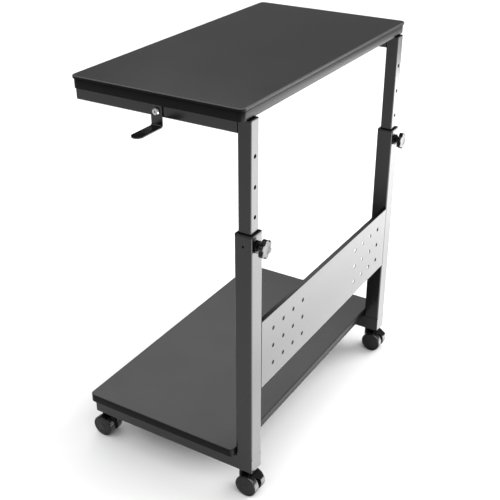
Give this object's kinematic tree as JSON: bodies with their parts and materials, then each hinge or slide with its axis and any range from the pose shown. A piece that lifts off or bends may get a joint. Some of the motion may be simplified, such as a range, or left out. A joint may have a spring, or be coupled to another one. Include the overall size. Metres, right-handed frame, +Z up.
{
  "type": "rolling computer tower stand",
  "caption": "Rolling floor stand that carries a computer tower on a low shelf, under a height-adjustable side table with a perforated back panel and side hooks.",
  "frame": {"origin": "on the floor, under the middle of the bounding box", "axes": "+Z up; +X from the open ends of the feet and arms towards the legs, the back panel and the clamp knobs; Y along the table's length, with the near frame at -Y and the far frame at +Y"},
  "size_m": [0.355, 0.643, 0.687],
  "materials": {
    "black_powder_coat": "semi-gloss black powder coat on steel",
    "black_laminate": "black laminate on particle board",
    "black_top_sheet": "satin black hard sheet",
    "black_plastic": "moulded black plastic",
    "wheel_plastic": "moulded black plastic, worn smooth",
    "zinc_steel": "bright zinc plate"
  },
  "bodies": {
    "base": {"shelf_board": "black_laminate", "modesty_panel": "black_powder_coat", "near_foot_tube": "black_powder_coat", "near_foot_cap": "black_plastic", "near_foot_end_plate": "black_powder_coat", "near_outer_leg": "black_powder_coat", "near_leg_bush": "black_plastic", "near_clamp_nut": "zinc_steel", "near_lower_panel_screw": "zinc_steel", "near_upper_panel_screw": "zinc_steel", "near_open_caster_stem": "zinc_steel", "near_leg_caster_stem": "zinc_steel", "far_foot_tube": "black_powder_coat", "far_foot_cap": "black_plastic", "far_foot_end_plate": "black_powder_coat", "far_outer_leg": "black_powder_coat", "far_leg_bush": "black_plastic", "far_clamp_nut": "zinc_steel", "far_lower_panel_screw": "zinc_steel", "far_upper_panel_screw": "zinc_steel", "far_open_caster_stem": "zinc_steel", "far_leg_caster_stem": "zinc_steel"},
    "table_carriage": {"tabletop_board": "black_laminate", "top_sheet": "black_top_sheet", "near_inner_leg": "black_powder_coat", "near_leg_top_plug": "black_plastic", "near_leg_glide": "black_plastic", "near_arm": "black_powder_coat", "near_arm_cap": "black_plastic", "near_hook": "black_powder_coat", "near_hook_screw": "zinc_steel", "far_inner_leg": "black_powder_coat", "far_leg_top_plug": "black_plastic", "far_leg_glide": "black_plastic", "far_arm": "black_powder_coat", "far_arm_cap": "black_plastic", "far_hook": "black_powder_coat", "far_hook_screw": "zinc_steel"},
    "near_stud": {"near_clamp_stud": "zinc_steel"},
    "near_knob": {"near_clamp_knob": "black_plastic"},
    "near_open_swivel": {"near_open_caster_hood": "black_plastic", "near_open_caster_axle": "zinc_steel"},
    "near_open_outer_wheel": {"near_open_caster_outer_wheel": "wheel_plastic"},
    "near_open_inner_wheel": {"near_open_caster_inner_wheel": "wheel_plastic"},
    "near_leg_swivel": {"near_leg_caster_hood": "black_plastic", "near_leg_caster_axle": "zinc_steel"},
    "near_leg_outer_wheel": {"near_leg_caster_outer_wheel": "wheel_plastic"},
    "near_leg_inner_wheel": {"near_leg_caster_inner_wheel": "wheel_plastic"},
    "near_leg_brake": {"near_leg_caster_brake_lever": "black_plastic"},
    "far_stud": {"far_clamp_stud": "zinc_steel"},
    "far_knob": {"far_clamp_knob": "black_plastic"},
    "far_open_swivel": {"far_open_caster_hood": "black_plastic", "far_open_caster_axle": "zinc_steel"},
    "far_open_outer_wheel": {"far_open_caster_outer_wheel": "wheel_plastic"},
    "far_open_inner_wheel": {"far_open_caster_inner_wheel": "wheel_plastic"},
    "far_leg_swivel": {"far_leg_caster_hood": "black_plastic", "far_leg_caster_axle": "zinc_steel"},
    "far_leg_outer_wheel": {"far_leg_caster_outer_wheel": "wheel_plastic"},
    "far_leg_inner_wheel": {"far_leg_caster_inner_wheel": "wheel_plastic"},
    "far_leg_brake": {"far_leg_caster_brake_lever": "black_plastic"}
  },
  "joints": [
    {"name": "table_height", "type": "slide", "parent": "base", "child": "table_carriage", "axis": [0, 0, 1], "range_m": [-0.1404, 0.0936]},
    {"name": "near_stud_travel", "type": "slide", "parent": "base", "child": "near_stud", "axis": [1, 0, 0], "range_m": [0, 0.003]},
    {"name": "near_knob_turn", "type": "hinge", "parent": "near_stud", "child": "near_knob", "pos_m": [0.1607, -0.2532, 0.4715], "axis": [1, 0, 0], "range_deg": [0, 1080]},
    {"name": "near_open_swivel_turn", "type": "hinge", "parent": "base", "child": "near_open_swivel", "pos_m": [-0.1448, -0.2532, 0], "axis": [0, 0, 1], "continuous": true},
    {"name": "near_open_outer_wheel_roll", "type": "hinge", "parent": "near_open_swivel", "child": "near_open_outer_wheel", "pos_m": [-0.1575, -0.2532, 0.02], "axis": [0, 1, 0], "continuous": true},
    {"name": "near_open_inner_wheel_roll", "type": "hinge", "parent": "near_open_swivel", "child": "near_open_inner_wheel", "pos_m": [-0.1575, -0.2532, 0.02], "axis": [0, 1, 0], "continuous": true},
    {"name": "near_leg_swivel_turn", "type": "hinge", "parent": "base", "child": "near_leg_swivel", "pos_m": [0.1362, -0.2532, 0], "axis": [0, 0, 1], "continuous": true},
    {"name": "near_leg_outer_wheel_roll", "type": "hinge", "parent": "near_leg_swivel", "child": "near_leg_outer_wheel", "pos_m": [0.1489, -0.2532, 0.02], "axis": [0, 1, 0], "continuous": true},
    {"name": "near_leg_inner_wheel_roll", "type": "hinge", "parent": "near_leg_swivel", "child": "near_leg_inner_wheel", "pos_m": [0.1489, -0.2532, 0.02], "axis": [0, 1, 0], "continuous": true},
    {"name": "near_leg_brake_press", "type": "hinge", "parent": "near_leg_swivel", "child": "near_leg_brake", "pos_m": [0.1504, -0.2532, 0.0451], "axis": [0, 1, 0], "range_deg": [0, 12]},
    {"name": "far_stud_travel", "type": "slide", "parent": "base", "child": "far_stud", "axis": [1, 0, 0], "range_m": [0, 0.003]},
    {"name": "far_knob_turn", "type": "hinge", "parent": "far_stud", "child": "far_knob", "pos_m": [0.1607, 0.2532, 0.4715], "axis": [1, 0, 0], "range_deg": [0, 1080]},
    {"name": "far_open_swivel_turn", "type": "hinge", "parent": "base", "child": "far_open_swivel", "pos_m": [-0.1448, 0.2532, 0], "axis": [0, 0, 1], "continuous": true},
    {"name": "far_open_outer_wheel_roll", "type": "hinge", "parent": "far_open_swivel", "child": "far_open_outer_wheel", "pos_m": [-0.1575, 0.2532, 0.02], "axis": [0, 1, 0], "continuous": true},
    {"name": "far_open_inner_wheel_roll", "type": "hinge", "parent": "far_open_swivel", "child": "far_open_inner_wheel", "pos_m": [-0.1575, 0.2532, 0.02], "axis": [0, 1, 0], "continuous": true},
    {"name": "far_leg_swivel_turn", "type": "hinge", "parent": "base", "child": "far_leg_swivel", "pos_m": [0.1362, 0.2532, 0], "axis": [0, 0, 1], "continuous": true},
    {"name": "far_leg_outer_wheel_roll", "type": "hinge", "parent": "far_leg_swivel", "child": "far_leg_outer_wheel", "pos_m": [0.1489, 0.2532, 0.02], "axis": [0, 1, 0], "continuous": true},
    {"name": "far_leg_inner_wheel_roll", "type": "hinge", "parent": "far_leg_swivel", "child": "far_leg_inner_wheel", "pos_m": [0.1489, 0.2532, 0.02], "axis": [0, 1, 0], "continuous": true},
    {"name": "far_leg_brake_press", "type": "hinge", "parent": "far_leg_swivel", "child": "far_leg_brake", "pos_m": [0.1504, 0.2532, 0.0451], "axis": [0, 1, 0], "range_deg": [0, 12]}
  ],
  "couplings": [
    {"joint": "near_stud_travel", "follows": "near_knob_turn", "m_per_rad": 0.000159},
    {"joint": "far_stud_travel", "follows": "far_knob_turn", "m_per_rad": 0.000159}
  ]
}
